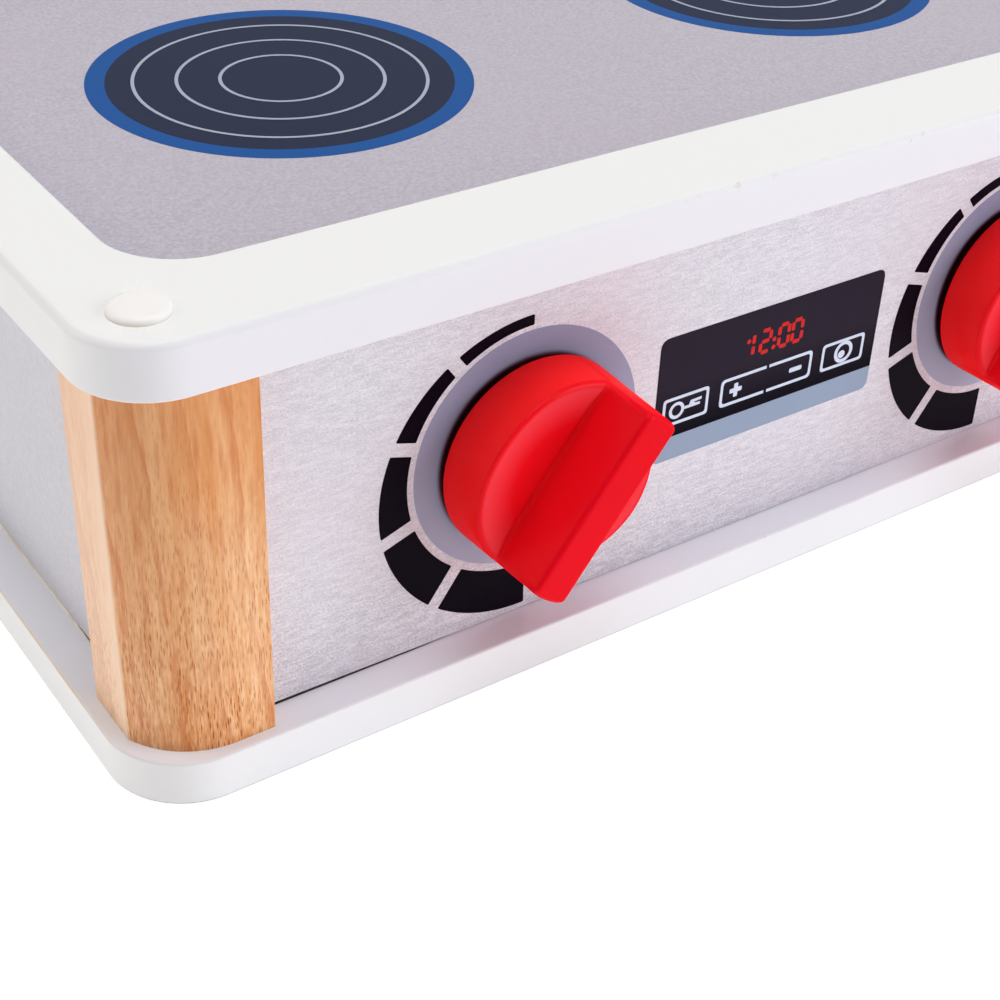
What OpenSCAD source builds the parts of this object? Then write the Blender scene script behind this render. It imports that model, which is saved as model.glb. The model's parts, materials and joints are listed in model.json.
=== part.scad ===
// Toy hob for play on a table: a painted base board and top frame, four wooden
// corner posts, printed side panels, a recessed hob panel and two click-stop knobs.
// Origin at the centre of the base board's underside. X runs along the front,
// +Y to the back and +Z up. All sizes are in millimetres.

/* [Body] */
// Width of the base board and the top frame
body_w = 369.3; // [300:0.1:450]
// Depth of the base board and the top frame
body_d = 240; // [200:1:320]
// Thickness of the base board
board_t = 12; // [9:0.5:18]
// Thickness of the top frame
frame_t = 12.8; // [9:0.1:18]
// Height of the corner posts between the two boards
post_h = 93.7; // [80:0.1:120]
// Corner radius of the base board
base_corner_r = 20; // [12:0.5:24]
// Corner radius of the top frame, outside and inside
frame_corner_r = 18; // [12:0.5:22]
// Rounding of the top frame's upper outer edge
frame_edge_r = 1.8; // [0.5:0.1:3]
// Easing of the other board edges
board_ease = 0.6; // [0.2:0.1:1]

/* [Corner posts] */
// Distance from a board's side edge to a post's side face
post_inset_x = 3.8; // [2:0.1:6]
// Distance from a board's front or rear edge to a post's face
post_inset_y = 2.8; // [2:0.1:6]
// Post size along X
post_w = 30; // [24:0.1:36]
// Post size along Y
post_d = 30.5; // [26:0.1:38]
// Radius of the rounded outer corner of a post
post_round_r = 22; // [14:0.5:24]

/* [Panels] */
// Distance from the front and rear board edges to the panel faces
panel_inset_y = 9.3; // [7:0.1:12]
// Distance from the side board edges to the side panel faces
panel_inset_x = 10.7; // [8:0.1:12]
// Thickness of the front, rear and side panels
panel_t = 4; // [3:0.1:5]
// How far a panel runs into a post
tongue = 5.5; // [3:0.5:7]

/* [Hob] */
// Width of the top frame's front and rear members
frame_bar_y = 29; // [24:0.5:40]
// Width of the top frame's side members
frame_bar_x = 21; // [18:0.5:36]
// Width of the rebate that holds the hob panel
rebate_w = 6; // [3:0.5:8]
// Thickness of the hob panel's edge, which fills the rebate
hob_edge_t = 5; // [3:0.1:6]
// Thickness of the hob panel inside the frame's opening
hob_t = 5.8; // [3.5:0.1:7]
// Depth of a cleat under the hob panel's edge
cleat_w = 18; // [14:1:24]
// Height of a cleat
cleat_h = 12; // [8:1:16]

/* [Knobs] */
// Distance of each knob's axis from the middle of the body
knob_x = 79.25; // [60:0.05:110]
// Height of the knob axes above the underside
knob_z = 59.5; // [54:0.1:65]
// Radius of a knob at its foot
knob_r = 25.2; // [19:0.1:28]
// Radius of a knob at its front
knob_front_r = 24.4; // [18:0.1:28]
// Height of a knob's grip bar above the panel
knob_h = 30.5; // [24:0.1:36]
// Width of the grip bar's front face
bar_w = 10.6; // [5:0.1:12]
// Height of the scooped floor beside the grip bar
floor_h = 16.4; // [14:0.1:20]
// Rise of the scooped floor from the bar to the rim
floor_rise = 1.4; // [0.5:0.1:4]
// Turn of the grip bar away from upright, clockwise seen from the front
knob_turn = 37.3; // [0:0.1:90]
// Gap between a knob and the panel
knob_gap = 2.3; // [0.6:0.1:3]

/* [Click mechanism] */
// Radius of a spindle
spindle_r = 3; // [2.5:0.1:4]
// Radial running clearance of a spindle in its bush
running_gap = 0.06; // [0.02:0.01:0.1]
// Radius of a click wheel
wheel_r = 9.5; // [8:0.1:11]
// Number of click stops in a turn
clicks = 12; // [12:12:24]

/* [Hidden] */
$fn = 96;
small = 48;
eps = 0.01;
arc_steps = 4;

// Levels of the stack
post_z = board_t;
frame_z = board_t + post_h;
top_z = frame_z + frame_t;

// Fits
groove_gap = 0.2;
groove_extra = 0.5;
sill_gap = 0.5;
lid_gap = 0.3;
field_gap = 0.1;
slip = 0.05;
hole_gap = 0.2;
panel_h = post_h - sill_gap - lid_gap;
panel_z = post_z + sill_gap;

// How far the circle of a post's rounding reaches beyond its side face
post_arris = 1.5;

// Corner fixings, measured from the board's corner
fix = 14.8;
screw_r = 2;
screw_l = 36;
head_r = 4;
head_h = 2.4;
head_round = 0.8;
sink = 0.3;
bore_r = 4.4;
bore_depth = 6;
cap_r = 6.5;
cap_rise = 1.5;
stem_l = 3.1;
pilot_short = 8;

// Cleat fixings
cleat_screw_r = 1.5;
cleat_screw_l = 18;
cleat_head_r = 3;
cleat_head_h = 1.8;
cleat_y = panel_inset_y + panel_t + 0.7;
cleat_end = post_inset_x + post_w + 2.2;
cleat_fix_y = cleat_y + 4.5;
cleat_fix_x = [-110, 0, 110];

// Knob details, along the axis from the panel's face
skirt_t = 2.2;
hollow_h = floor_h - 2.6;
boss_r = 6.5;
boss_z = knob_gap + 0.1;
spindle_top = knob_h - 9.5;
knob_taper = (knob_r - knob_front_r) / (knob_h - knob_gap);
bar_draft = 0.6;
bar_edge = 1.3;
fillet_u = 1;
rib_t = 1.6;
rib_z = 2;
shaft_fit = 0.02;

// Click mechanism, behind the panel
washer_r = 9;
washer_t = knob_gap - 0.1;
bush_r = 5.9;
panel_hole_r = 6;
flange_t = 2;
housing_r = 16;
housing_wall = 2;
housing_h = 9;
lug_x = 19.5;
lug_r = 4;
lug_screw_r = 1.2;
lug_screw_l = 5.4;
lug_head_r = 2.8;
lug_head_h = 1.6;
wheel_gap = 0.3;
wheel_t = 4;
hub_r = 5;
hub_l = 1.6;
notch_r = 1.3;
notch_pitch_r = wheel_r + 0.4;
nose_r = 1;
leaf_y = 12;
leaf_t = 0.6;
leaf_half = 6;
leaf_w = 3;
stop_w = 1.4;
wheel_z = -panel_t - flange_t - wheel_gap;
spindle_end = wheel_z - wheel_t - hub_l;
keep_screw_r = 1.2;
keep_screw_l = 9;
keep_head_r = 4;
keep_head_h = 2;

// ---- Shared shapes ----

// Points of a quarter circle, from angle a to a + 90
function quarter(c, r, a) = [for (i = [0:arc_steps]) c + r * [cos(a + 90 * i / arc_steps), sin(a + 90 * i / arc_steps)]];

// Half section of a board, from its inside to its edge at x = r
function board_section(r, t, low, high) =
    concat([[0, 0]], quarter([r - low, low], low, -90), quarter([r - high, t - high], high, 0), [[0, t]]);

// A straight edge strip of a board, lying along X with its edge towards +Y
module edge_strip(l, r, t, low, high) {
    translate([-l / 2, 0, 0]) rotate([90, 0, 90]) linear_extrude(l) polygon(board_section(r, t, low, high));
}

// A board with rounded corners and eased edges
module board(w, d, t, r, low, high) {
    translate([-w / 2 + r, -d / 2 + r, 0]) cube([w - 2 * r, d - 2 * r, t]);
    for (s = [-1, 1]) {
        for (q = [-1, 1]) translate([s * (w / 2 - r), q * (d / 2 - r), 0])
            rotate_extrude() polygon(board_section(r, t, low, high));
        translate([0, s * (d / 2 - r), 0]) rotate([0, 0, 90 - 90 * s]) edge_strip(w - 2 * r, r, t, low, high);
        translate([s * (w / 2 - r), 0, 0]) rotate([0, 0, -90 * s]) edge_strip(d - 2 * r, r, t, low, high);
    }
}

// A plain upright block with rounded corners
module rounded_block(w, d, h, r) {
    linear_extrude(h) union() {
        square([w - 2 * r, d], center = true);
        square([w, d - 2 * r], center = true);
        for (s = [-1, 1], q = [-1, 1]) translate([s * (w / 2 - r), q * (d / 2 - r)]) circle(r);
    }
}

// Repeats a child at all four corners, with its own corner frame: x and y run inwards
module at_corners() {
    for (s = [0, 1], q = [0, 1]) at_corner(s, q) children();
}

module at_corner(s, q) {
    mirror([s, 0, 0]) mirror([0, q, 0]) translate([-body_w / 2, -body_d / 2, 0]) children();
}

// A round-head screw pointing down, its head seated at z = 0
module pan_screw(r, l, hr, hh) {
    translate([0, 0, -l]) cylinder(r = r, h = l, $fn = small);
    rotate_extrude($fn = small)
        polygon(concat([[0, 0], [hr, 0]], quarter([hr - head_round, hh - head_round], head_round, 0), [[0, hh]]));
}

// ---- Boards, posts and panels ----

module base_board() {
    color("white") difference() {
        board(body_w, body_d, board_t, base_corner_r, board_ease, board_ease);
        at_corners() translate([fix, fix, 0]) {
            translate([0, 0, -1]) cylinder(r = screw_r + hole_gap, h = board_t + 2, $fn = small);
            translate([0, 0, -1]) cylinder(r = head_r + hole_gap, h = sink + 1, $fn = small);
            translate([0, 0, sink - eps])
                cylinder(r1 = head_r + hole_gap, r2 = screw_r + hole_gap, h = head_h, $fn = small);
        }
    }
}

module top_frame() {
    color("white") translate([0, 0, frame_z]) difference() {
        board(body_w, body_d, frame_t, frame_corner_r, board_ease, frame_edge_r);
        translate([0, 0, -1])
            rounded_block(body_w - 2 * frame_bar_x, body_d - 2 * frame_bar_y, frame_t + 2, frame_corner_r);
        translate([0, 0, -1]) rounded_block(body_w - 2 * (frame_bar_x - rebate_w),
            body_d - 2 * (frame_bar_y - rebate_w), hob_edge_t + 1, frame_corner_r);
        at_corners() translate([fix, fix, 0]) {
            translate([0, 0, -1]) cylinder(r = screw_r + hole_gap, h = frame_t + 2, $fn = small);
            translate([0, 0, frame_t - bore_depth]) cylinder(r = bore_r, h = bore_depth + 1, $fn = small);
        }
        for (s = [0, 1], x = cleat_fix_x) mirror([0, s, 0]) translate([x, cleat_fix_y - body_d / 2, -1])
            cylinder(r = cleat_screw_r + slip, h = cleat_screw_l - cleat_h + 2, $fn = small);
    }
}

// Cross-section of a post in its corner frame, with the grooves for two panels
module post_section() {
    groove_d = tongue + groove_extra;
    round_c = [post_inset_x - post_arris + post_round_r, post_inset_y + post_round_r];
    difference() {
        translate([post_inset_x, post_inset_y]) square([post_w, post_d]);
        difference() {
            square(round_c);
            translate(round_c) circle(post_round_r);
        }
        translate([post_inset_x + post_w - groove_d, panel_inset_y - groove_gap])
            square([groove_d + 1, panel_t + groove_gap]);
        translate([panel_inset_x - groove_gap, post_inset_y + post_d - groove_d])
            square([panel_t + groove_gap, groove_d + 1]);
    }
}

module post(s, q) {
    color("burlywood") at_corner(s, q) difference() {
        translate([0, 0, post_z]) linear_extrude(post_h) post_section();
        translate([fix, fix, post_z - 1]) cylinder(r = screw_r + slip, h = screw_l - pilot_short, $fn = small);
        translate([fix, fix, frame_z - screw_l + bore_depth - 1]) cylinder(r = screw_r + slip, h = screw_l, $fn = small);
    }
}

module post_front_left() { post(0, 0); }
module post_front_right() { post(1, 0); }
module post_rear_left() { post(0, 1); }
module post_rear_right() { post(1, 1); }

// A front or rear panel, lying between the grooves of two posts
module long_panel() {
    x0 = -body_w / 2 + post_inset_x + post_w - tongue;
    translate([x0, -body_d / 2 + panel_inset_y, panel_z]) cube([-2 * x0, panel_t, panel_h]);
}

module front_panel() {
    color("gainsboro") difference() {
        long_panel();
        for (s = [-1, 1]) on_axis(s) {
            translate([0, 0, -panel_t - 1]) cylinder(r = panel_hole_r, h = panel_t + 2);
            for (q = [-1, 1]) translate([q * lug_x, 0, -panel_t - 1])
                cylinder(r = lug_screw_r + slip, h = lug_screw_l - flange_t + 1.1, $fn = small);
        }
    }
}

module rear_panel() { color("gainsboro") mirror([0, 1, 0]) long_panel(); }

// A side panel; side is -1 for the left one and 1 for the right one
module side_panel(side) {
    y0 = -body_d / 2 + post_inset_y + post_d - tongue;
    mirror([side < 0 ? 0 : 1, 0, 0]) translate([-body_w / 2 + panel_inset_x, y0, panel_z])
        cube([panel_t, -2 * y0, panel_h]);
}

module left_panel() { color("silver") side_panel(-1); }
module right_panel() { color("silver") side_panel(1); }

// The hob panel: its edge lies in the frame's rebate and its middle rises into the opening
module hob_panel() {
    lip = rebate_w - groove_gap;
    color("thistle") translate([0, 0, frame_z]) {
        rounded_block(body_w - 2 * (frame_bar_x - lip), body_d - 2 * (frame_bar_y - lip), hob_edge_t, frame_corner_r);
        translate([0, 0, 1]) rounded_block(body_w - 2 * (frame_bar_x + field_gap),
            body_d - 2 * (frame_bar_y + field_gap), hob_t - 1, frame_corner_r - field_gap);
    }
}

// A cleat that holds the hob panel up against the frame
module cleat() {
    color("tan") difference() {
        translate([-body_w / 2 + cleat_end, -body_d / 2 + cleat_y, frame_z - cleat_h])
            cube([body_w - 2 * cleat_end, cleat_w, cleat_h]);
        for (x = cleat_fix_x) translate([x, -body_d / 2 + cleat_fix_y, frame_z - cleat_h - 1])
            cylinder(r = cleat_screw_r + slip, h = cleat_h + 2, $fn = small);
    }
}

module cleat_front() { cleat(); }
module cleat_rear() { mirror([0, 1, 0]) cleat(); }

// ---- Fasteners ----

module cleat_screws() {
    color("lightgray") for (s = [0, 1], x = cleat_fix_x)
        mirror([0, s, 0]) translate([x, -body_d / 2 + cleat_fix_y, frame_z - cleat_h]) rotate([180, 0, 0])
            pan_screw(cleat_screw_r, cleat_screw_l, cleat_head_r, cleat_head_h);
}

module top_screws() {
    color("lightgray") at_corners() translate([fix, fix, top_z - bore_depth])
        pan_screw(screw_r, screw_l, head_r, head_h);
}

module bottom_screws() {
    color("lightgray") at_corners() translate([fix, fix, sink]) {
        cylinder(r = screw_r, h = screw_l, $fn = small);
        cylinder(r1 = head_r, r2 = screw_r, h = head_h - hole_gap, $fn = small);
    }
}

// Domed caps over the screws of the top frame
module screw_caps() {
    dome_r = (cap_r * cap_r + cap_rise * cap_rise) / (2 * cap_rise);
    half = asin(cap_r / dome_r);
    rim = [for (i = [0:8]) [dome_r * sin(half * (1 - i / 8)), dome_r * cos(half * (1 - i / 8)) - dome_r + cap_rise]];
    color("white") at_corners() translate([fix, fix, top_z]) {
        rotate_extrude() polygon(concat([[0, 0]], rim));
        translate([0, 0, -stem_l]) cylinder(r = bore_r - slip, h = stem_l, $fn = small);
    }
}

// ---- Knobs ----

// Puts a child on a knob's axis: z points out of the panel's face towards the front
module on_axis(side) {
    translate([side * knob_x, -body_d / 2 + panel_inset_y, knob_z]) rotate([90, 0, 0]) children();
}

// Half section of a knob across its grip bar, from the middle outwards
function grip_half() = let (
        top_u = bar_w / 2,
        foot_u = top_u + bar_draft,
        floor_u = foot_u + fillet_u,
        reach = knob_r + 1)
    concat(
        [for (i = [0:arc_steps]) let (a = 90 - 90 * i / arc_steps)
            [top_u - bar_edge + bar_edge * cos(a), knob_h - bar_edge + bar_edge * sin(a)]],
        [for (i = [0:arc_steps]) let (a = 90 * i / arc_steps)
            [floor_u - fillet_u * cos(a), floor_h + fillet_u * (1 - sin(a))]],
        [for (i = [1:6]) let (k = i / 6)
            [floor_u + (reach - floor_u) * k, floor_h + floor_rise * k * k]]);

module knob(side) {
    half = grip_half();
    other = [for (i = [len(half) - 1:-1:0]) [-half[i][0], half[i][1]]];
    section = concat(half, [[knob_r + 1, knob_gap], [-knob_r - 1, knob_gap]], other);
    color("red") on_axis(side) difference() {
        intersection() {
            rotate([0, 0, -knob_turn]) rotate([90, 0, 0])
                translate([0, 0, -knob_r - 1]) linear_extrude(2 * knob_r + 2) polygon(section);
            translate([0, 0, knob_gap]) cylinder(r1 = knob_r, r2 = knob_r - knob_taper * knob_h, h = knob_h);
        }
        difference() {
            cylinder(r = knob_r - skirt_t, h = hollow_h);
            cylinder(r = boss_r, h = hollow_h + 1);
            for (a = [0, 90]) rotate([0, 0, a]) translate([-knob_r, -rib_t / 2, rib_z])
                cube([2 * knob_r, rib_t, hollow_h]);
        }
        cylinder(r = boss_r + 1, h = boss_z);
        cylinder(r = spindle_r + shaft_fit, h = spindle_top + 0.3);
    }
}

module spindle(side) {
    color("lightgray") on_axis(side) difference() {
        translate([0, 0, spindle_end]) cylinder(r = spindle_r, h = spindle_top - spindle_end);
        translate([0, 0, spindle_end - 1]) cylinder(r = keep_screw_r + slip, h = keep_screw_l + 1.5, $fn = small);
    }
}

module felt_washer(side) {
    color("dimgray") on_axis(side) difference() {
        cylinder(r = washer_r, h = washer_t);
        translate([0, 0, -1]) cylinder(r = spindle_r + wheel_gap, h = washer_t + 2);
    }
}

// Cup behind the panel, with the spindle's bush, two screw lugs and two stops for the spring
module click_housing(side) {
    color("whitesmoke") on_axis(side) difference() {
        union() {
            translate([0, 0, -panel_t]) cylinder(r = bush_r, h = panel_t);
            translate([0, 0, -panel_t - flange_t]) {
                cylinder(r = housing_r, h = flange_t);
                translate([-lug_x, -lug_r, 0]) cube([2 * lug_x, 2 * lug_r, flange_t]);
                for (q = [-1, 1]) translate([q * lug_x, 0, 0]) cylinder(r = lug_r, h = flange_t, $fn = small);
            }
            translate([0, 0, -panel_t - housing_h]) difference() {
                cylinder(r = housing_r, h = housing_h);
                translate([0, 0, -1]) cylinder(r = housing_r - housing_wall, h = housing_h + 2);
            }
            for (q = [0, 1]) mirror([q, 0, 0])
                translate([leaf_half, leaf_y - 1, -panel_t - housing_h + 2]) cube([stop_w, 2.6, housing_h - 2]);
        }
        translate([0, 0, -panel_t - flange_t - 1])
            cylinder(r = spindle_r + running_gap, h = panel_t + flange_t + 2);
        for (q = [-1, 1]) translate([q * lug_x, 0, -panel_t - flange_t - 1])
            cylinder(r = lug_screw_r + hole_gap, h = flange_t + 2, $fn = small);
    }
}

// Notched wheel that gives the knob its click stops
module click_wheel(side) {
    color("ivory") on_axis(side) difference() {
        union() {
            translate([0, 0, wheel_z - wheel_t]) linear_extrude(wheel_t) difference() {
                circle(wheel_r);
                for (i = [0:clicks - 1]) rotate(i * 360 / clicks) translate([0, notch_pitch_r])
                    circle(notch_r, $fn = small);
            }
            translate([0, 0, spindle_end]) cylinder(r = hub_r, h = hub_l + 1);
        }
        translate([0, 0, spindle_end - 1]) cylinder(r = spindle_r + shaft_fit, h = wheel_t + hub_l + 2);
    }
}

// Leaf spring between the housing's stops, its nose resting in a notch of the wheel
module click_spring(side) {
    color("darkgray") on_axis(side) translate([0, 0, wheel_z - (wheel_t + leaf_w) / 2]) linear_extrude(leaf_w) union() {
        translate([-leaf_half, leaf_y]) square([2 * leaf_half, leaf_t]);
        polygon([[-2.4, leaf_y + leaf_t / 2], [-nose_r * 0.8, notch_pitch_r], [nose_r * 0.8, notch_pitch_r],
                 [2.4, leaf_y + leaf_t / 2]]);
        translate([0, notch_pitch_r]) circle(nose_r, $fn = small);
    }
}

module retaining_screw(side) {
    color("lightgray") on_axis(side) translate([0, 0, spindle_end]) rotate([180, 0, 0])
        pan_screw(keep_screw_r, keep_screw_l, keep_head_r, keep_head_h);
}

module housing_screws(side) {
    color("lightgray") on_axis(side) for (q = [-1, 1]) translate([q * lug_x, 0, -panel_t - flange_t])
        rotate([180, 0, 0]) pan_screw(lug_screw_r, lug_screw_l, lug_head_r, lug_head_h);
}

base_board();
top_frame();
post_front_left();
post_front_right();
post_rear_left();
post_rear_right();
front_panel();
rear_panel();
left_panel();
right_panel();
hob_panel();
cleat_front();
cleat_rear();
cleat_screws();
top_screws();
bottom_screws();
screw_caps();
knob(-1);  // knob_left
spindle(-1);  // spindle_left
felt_washer(-1);  // felt_washer_left
click_housing(-1);  // click_housing_left
click_wheel(-1);  // click_wheel_left
click_spring(-1);  // click_spring_left
retaining_screw(-1);  // retaining_screw_left
housing_screws(-1);  // housing_screws_left
knob(1);  // knob_right
spindle(1);  // spindle_right
felt_washer(1);  // felt_washer_right
click_housing(1);  // click_housing_right
click_wheel(1);  // click_wheel_right
click_spring(1);  // click_spring_right
retaining_screw(1);  // retaining_screw_right
housing_screws(1);  // housing_screws_right
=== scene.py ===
"""Looks for the toy hob: painted boards, beech posts, printed panels and two red click-stop knobs."""
import json
import math

import bmesh
import bpy
from mathutils import Matrix, Vector


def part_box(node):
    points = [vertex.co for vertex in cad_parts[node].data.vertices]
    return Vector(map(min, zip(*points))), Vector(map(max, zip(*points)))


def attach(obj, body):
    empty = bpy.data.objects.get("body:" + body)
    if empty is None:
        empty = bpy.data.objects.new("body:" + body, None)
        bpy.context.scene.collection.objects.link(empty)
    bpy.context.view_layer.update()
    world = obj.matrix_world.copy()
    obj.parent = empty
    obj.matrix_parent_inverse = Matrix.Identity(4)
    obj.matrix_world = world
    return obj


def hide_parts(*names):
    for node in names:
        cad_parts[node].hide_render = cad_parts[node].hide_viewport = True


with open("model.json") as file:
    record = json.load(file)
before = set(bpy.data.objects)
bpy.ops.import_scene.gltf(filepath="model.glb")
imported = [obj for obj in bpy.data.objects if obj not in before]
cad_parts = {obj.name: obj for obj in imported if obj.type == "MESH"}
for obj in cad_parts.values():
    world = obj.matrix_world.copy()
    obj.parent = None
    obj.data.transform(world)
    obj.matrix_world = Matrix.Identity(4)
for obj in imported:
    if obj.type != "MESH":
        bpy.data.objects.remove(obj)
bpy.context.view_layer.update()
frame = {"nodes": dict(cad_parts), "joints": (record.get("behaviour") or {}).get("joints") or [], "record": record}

MM = 0.001
ROOT = "body"


# ---- Sizes, in millimetres: read from the frame, or the details that only the looks have ----

def box_mm(node):
    low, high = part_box(node)
    return low / MM, high / MM


base_low, base_high = box_mm("base_board")
top_low, top_high = box_mm("top_frame")
panel_low, panel_high = box_mm("front_panel")
side_low, side_high = box_mm("left_panel")
knob_low, knob_high = box_mm("knob_left")
post_low, post_high = box_mm("post_front_left")
AXES = {joint["name"].split("_")[0]: Vector(joint["pos_m"]) / MM for joint in frame["joints"]}

BODY_W = base_high.x - base_low.x
BODY_D = base_high.y - base_low.y
FACE_Y = panel_low.y
HOB_Z = box_mm("hob_panel")[1].z

# Boards
BASE_CORNER_R = 20
FRAME_CORNER_R = 18
FRAME_BAR_X = 21
FRAME_BAR_Y = 29
REBATE_W = 6
REBATE_H = 5
FRAME_EDGE_R = 1.8
OPENING_EDGE_R = 0.9
OPENING_EASE = 0.2
BOARD_EASE = 0.6
CORNER_STEPS = 20

# Boards' wear and painted shade: values of the attribute for wear and painted light (edges worn to the board, and
# a painted contact shade), the worn band's reach from the left edge, and the bands' height
BARE, HALF_BARE, CONTACT_SHADE = 4, 1.6, -1
WORN_REACH = 3
ARRIS_BAND = 0.5

# Screws and caps
SCREW_INSET = 14.8
SINK_R, SINK_RIM_H, SINK_H = 4.2, 0.3, 2.7
SHANK_R = 2.2
BORE_R, BORE_DEPTH = 4.4, 6
THROUGH = 20
CAP_R = 6.5
CAP_H = 1.5
CAP_FLARE = 0.12
CAP_EDGE_R = 1.25
CAP_DOME = 0.05
CAP_STEM_R, CAP_STEM_H = 4.3, 3.1

# Posts
POST_ROUND_R = 22
POST_ROUND_STEPS = 24
POST_ARRIS = 1.5
POST_EASE = 0.25
# Width of the painted highlight line along each post's arris
POST_HIGHLIGHT_LINE = 0.45
GROOVE_DEPTH = 6
GROOVE_SLACK = 0.2
YEAR_RINGS = 95, -60, 7  # per metre along X, Y and Z

# Gaps under the front panel (x, gap) and under the left panel (y, gap), along the photo's dark line
PANEL_LIFT = 0.15
FRONT_GAPS = [(panel_low.x, 0.85), (-148, 0.85), (-124, 0.65), (-106, 0.45), (-80, 0.25),
              (panel_high.x, PANEL_LIFT)]
SLIT_Y = -58.5
SIDE_GAPS = [(side_low.y, 0.8), (SLIT_Y - 9.5, 0.75), (SLIT_Y - 5, 0.5), (SLIT_Y, PANEL_LIFT),
             (side_high.y, PANEL_LIFT)]
SILL_T = 0.1
SILL_X1 = -76
SILL_SLOPE_X = -110
RAW_LINE_T, RAW_LINE_W = 0.14, 0.4

# Knobs: heights are above the panel
KNOB_R = (knob_high.x - knob_low.x) / 2
KNOB_FRONT_R = 24.4
KNOB_TURN = math.radians(37.3)
KNOB_TOP = FACE_Y - knob_low.y
KNOB_GAP = FACE_Y - knob_high.y
KNOB_FOOT_R = 0.6
BAR_HALF = 5.3
BAR_EDGE = 1.3
BAR_DRAFT = 0.6
FILLET = 1.0
BAR_GROOVE_W = 1.4
BAR_GROOVE_D = 0.8
BAR_GROOVE_INSET, BAR_GROOVE_FADE = 2, 5  # where it starts inside the rim, and over how long it deepens
FLOOR_H = 16.0
FLOOR_RISE = 1.8
FLOOR_POWER = 3.5
RIM_R = 1.4
SKIRT_T = 2.2
HOLLOW_H = FLOOR_H - 2.6
SPINDLE_HOLE_R = 6
# Where the painted highlight inside a scoop's rim starts, and over how far it fades
RIM_HIGHLIGHT_EDGE = 0.8
RIM_HIGHLIGHT_W = 8
BAR_TOP, SKIRT = -0.1, -1  # values of the attribute for painted light on the bar's top and the side

# Prints
PRINT_T = 0.06
RING_R = 31.4
RING_INNER_R = 13
RING_SHADE = 25.4, 24.4  # radii where the shade starts and is full
RING_DEEP_SHADE = 24.8, 23.9
MARKS = 5
MARK_INNER_R = 33.1
MARK_INNER_DROP = 0.45
MARK_OUTER_R = 40.5
MARK_OUTER_DROP = 5.2
MARK_GAP = 1.75
MARK_CORNER_R = 0.4
MARK_START = math.radians(90)
MARK_SWEEP = math.radians(181.2)
BURNER_X = (BODY_W / 2 - FRAME_BAR_X) / 2
BURNER_R = 49.5
BURNER_EDGE_W = 5
BURNER_RINGS = 38, 27, 16
BURNER_LINE = 0.9

# The display: x is from its left end, z from the table
DISPLAY_X = -BODY_W / 2 + 143.3
DISPLAY_W = 73.6
DISPLAY_Z0, DISPLAY_Z1 = 41.0, 76.8
DISPLAY_R = 2.8
STRIP_Z = 47.8
ICON_Z0, ICON_Z1 = 51.2, 59.3
ICON_LINE = 0.85
ICON_FRAMES = [(2.4, 17.0, 1.1, 0), (20.8, 51.4, 1.4, 1.0), (54.9, 69.7, 1.2, 0)]  # left, right, corner, gap
KEY_BOW = 6.9, 2.4, 1.5  # middle and radii
KEY_BLADE = [(9.4, -0.4), (14.3, -0.4), (14.3, 0.35), (12.7, 0.45), (12.4, 0.85), (14.7, 0.95), (14.7, 1.75),
             (11.2, 1.6), (10.8, 0.4), (9.4, 0.4)]
SIGN_W = 1.3
SIGN_EASE = 0.35
PLUS_X, PLUS_REACH = 25.9, 2.0
MINUS_X = 43.8, 48.0
ROUND_SIGN = 62.6, 3.2, 2.15
ROUND_DOT = 62.0, 1.15
DIGIT_Z0, DIGIT_Z1 = 63.8, 70.0
DIGIT_W = 3.1
DIGIT_STROKE = 1.15
DIGIT_X = 27.0, 32.5, 38.6, 43.1
DOT_R = 0.65
COLON_X, COLON_Z = 37.0, (64.3, 66.6)
FLAG_X, FLAG_Z = 28.4, 68.3
CLOCK = "1200"
SEGMENTS = {"0": "abcdef", "1": "bc", "2": "abged"}

# Camera and studio, in metres
CAMERA_AT = Vector((-0.29020, -0.39402, 0.28968))
CAMERA_RIGHT = Vector((0.825795, -0.562833, 0.035793))
CAMERA_AHEAD = Vector((0.479238, 0.666853, -0.570647))
LENS = 65.214
LIGHTS = [  # name, position, power, colour
    ("left_softbox", (-1.875, 1.083, 1.31), 21.6, (1.0, 0.97, 0.87)),
    ("right_softbox", (1.551, -1.723, 1.0), 33.0, (0.92, 0.96, 1.0)),
    ("right_high", (0.717, -1.242, 2.108), 4.0, (1.0, 1.0, 1.0)),
    ("camera_side_fill", (-1.014, -1.014, 2.108), 5.6, (1.0, 1.0, 1.0)),
    ("overhead", (0.0, 0.0, 2.5), 33.6, (1.0, 1.0, 1.0)),
]
LIGHT_SIZE = 1.6
LIGHT_AIM = Vector((-0.05, -0.05, 0.06))
FLOOR_GLOW = 0.42
FLOOR_HALF = 8
FLOOR_DROP = 0.00002


# ---- Node materials ----

def linear(r, g, b):
    """A colour written as 0-255 screen values, as a linear colour."""
    def channel(v):
        v /= 255
        return v / 12.92 if v <= 0.04045 else ((v + 0.055) / 1.055) ** 2.4
    return channel(r), channel(g), channel(b), 1.0


# Numbers of the Mix node's colour sockets
COLOR_A, COLOR_B, COLOR_OUT = 6, 7, 2


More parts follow.
